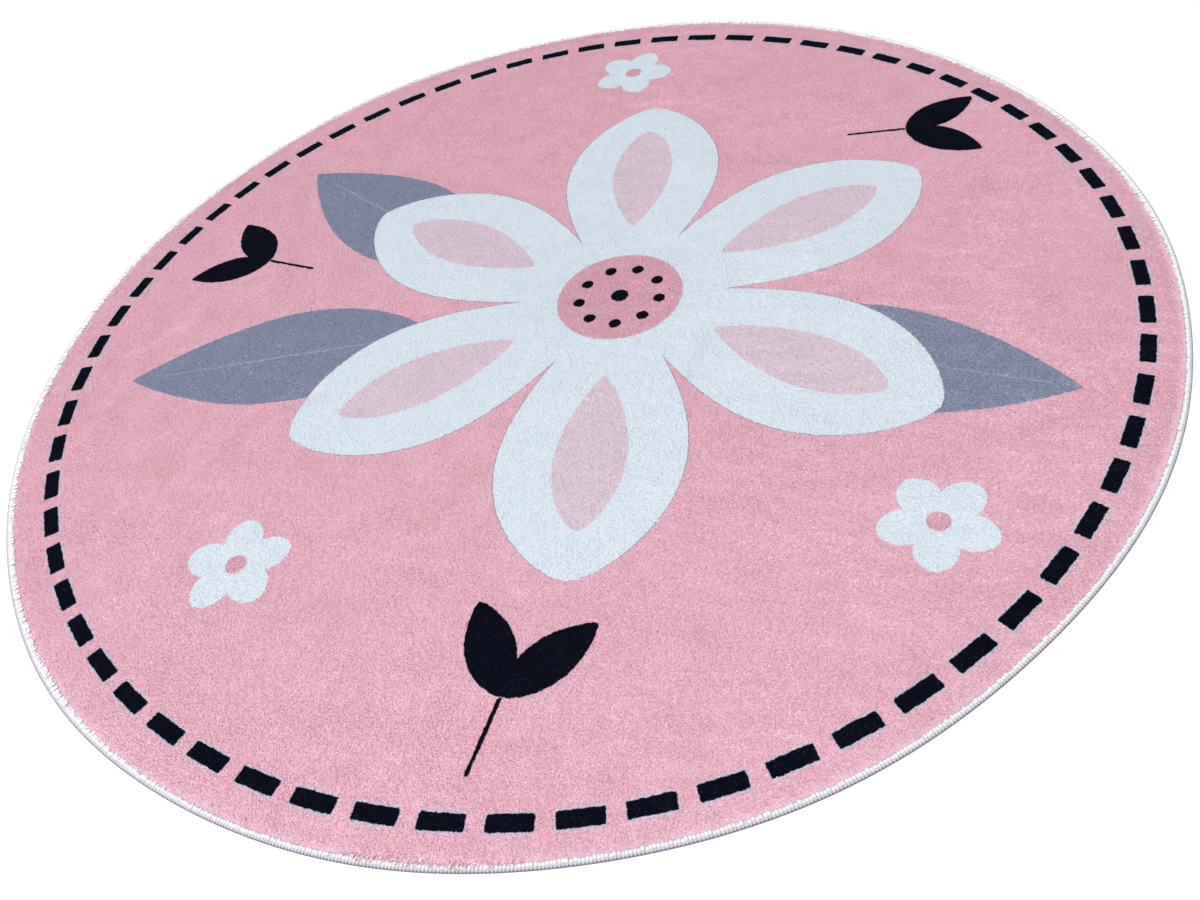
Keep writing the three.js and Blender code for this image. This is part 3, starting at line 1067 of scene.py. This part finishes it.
class RUG_OT_stage(bpy.types.Operator):
    """Set the floor, the light and the camera"""

    bl_idname = "rug.stage"
    bl_label = "Stage"

    def execute(self, context):
        stage = context.scene.rug_stage
        bm = bmesh.new()
        bmesh.ops.create_grid(bm, x_segments=1, y_segments=1, size=20)
        bmesh.ops.translate(bm, vec=(0, 0, -0.2 * MM), verts=bm.verts)
        floor = new_object("floor", finished(bm, "floor"), (floor_material(),))

        world = bpy.data.worlds.new("white studio")
        world.use_nodes = True
        tree = world.node_tree
        tree.nodes.clear()
        paths = add(tree, "ShaderNodeLightPath").node.outputs
        seen = add(tree, MATH, (paths["Is Camera Ray"], paths["Is Glossy Ray"]), operation="MAXIMUM")
        seen = add(tree, MATH, (seen, paths["Is Transmission Ray"]), operation="MAXIMUM")
        feeds = {"Value": seen, "To Min": stage.sky, "To Max": 1}
        strength = add(tree, RANGE, feeds)
        feeds = {"Color": (1, 1, 1, 1), "Strength": strength}
        background = add(tree, "ShaderNodeBackground", feeds)
        add(tree, "ShaderNodeOutputWorld", {"Surface": background})
        context.scene.world = world

        data = bpy.data.lights.new("key", "SUN")
        data.angle = stage.key_width
        data.energy = stage.key
        lamp = bpy.data.objects.new("key", data)
        context.scene.collection.objects.link(lamp)
        lamp.rotation_euler = (stage.key_tilt, 0, -stage.key_turn)

        data = bpy.data.lights.new("fill", "AREA")
        data.shape = "DISK"
        data.size = stage.fill_width
        data.energy = stage.fill
        lamp = bpy.data.objects.new("fill", data)
        context.scene.collection.objects.link(lamp)
        lamp.location = stage.fill_place

        data = bpy.data.cameras.new("camera")
        data.sensor_width = 36
        data.lens = stage.lens
        data.shift_x = stage.shift
        camera = bpy.data.objects.new("camera", data)
        context.scene.collection.objects.link(camera)
        tilt = Matrix.Rotation(math.pi / 2 - stage.elevation, 4, "X")
        turn = tilt @ Matrix.Rotation(stage.roll, 4, "Z")
        back = tilt @ Vector((0, 0, stage.distance))
        camera.matrix_world = Matrix.Translation(Vector(stage.looks_at) + back) @ turn
        context.scene.camera = camera
        context.scene.view_settings.view_transform = "Standard"
        return {"FINISHED"}


class VIEW3D_PT_rug(bpy.types.Panel):
    """Lists the rug's makers and its sizes"""

    bl_label = "Round nursery rug"
    bl_idname = "VIEW3D_PT_rug"
    bl_space_type = "VIEW_3D"
    bl_region_type = "UI"
    bl_category = "Rug"

    def draw(self, context):
        for operator in OPERATORS:
            self.layout.operator(operator.bl_idname)
        for group in (context.scene.rug_sizes, context.scene.rug_colours, context.scene.rug_stage):
            box = self.layout.box()
            for name in type(group).__annotations__:
                box.prop(group, name)


OPERATORS = (RUG_OT_pile, RUG_OT_edge, RUG_OT_cloth, RUG_OT_stage)
CLASSES = (RugSizes, RugColours, StageSettings, *OPERATORS, VIEW3D_PT_rug)


def register():
    for c in CLASSES:
        bpy.utils.register_class(c)
    bpy.types.Scene.rug_sizes = PointerProperty(type=RugSizes)
    bpy.types.Scene.rug_colours = PointerProperty(type=RugColours)
    bpy.types.Scene.rug_stage = PointerProperty(type=StageSettings)


def unregister():
    del bpy.types.Scene.rug_stage
    del bpy.types.Scene.rug_colours
    del bpy.types.Scene.rug_sizes
    for c in reversed(CLASSES):
        bpy.utils.unregister_class(c)


def main():
    """Build the rug and its stage."""
    register()
    bpy.ops.rug.stage()
    bpy.ops.rug.pile()
    bpy.ops.rug.edge()
    bpy.ops.rug.cloth()


if __name__ == "__main__":
    main()
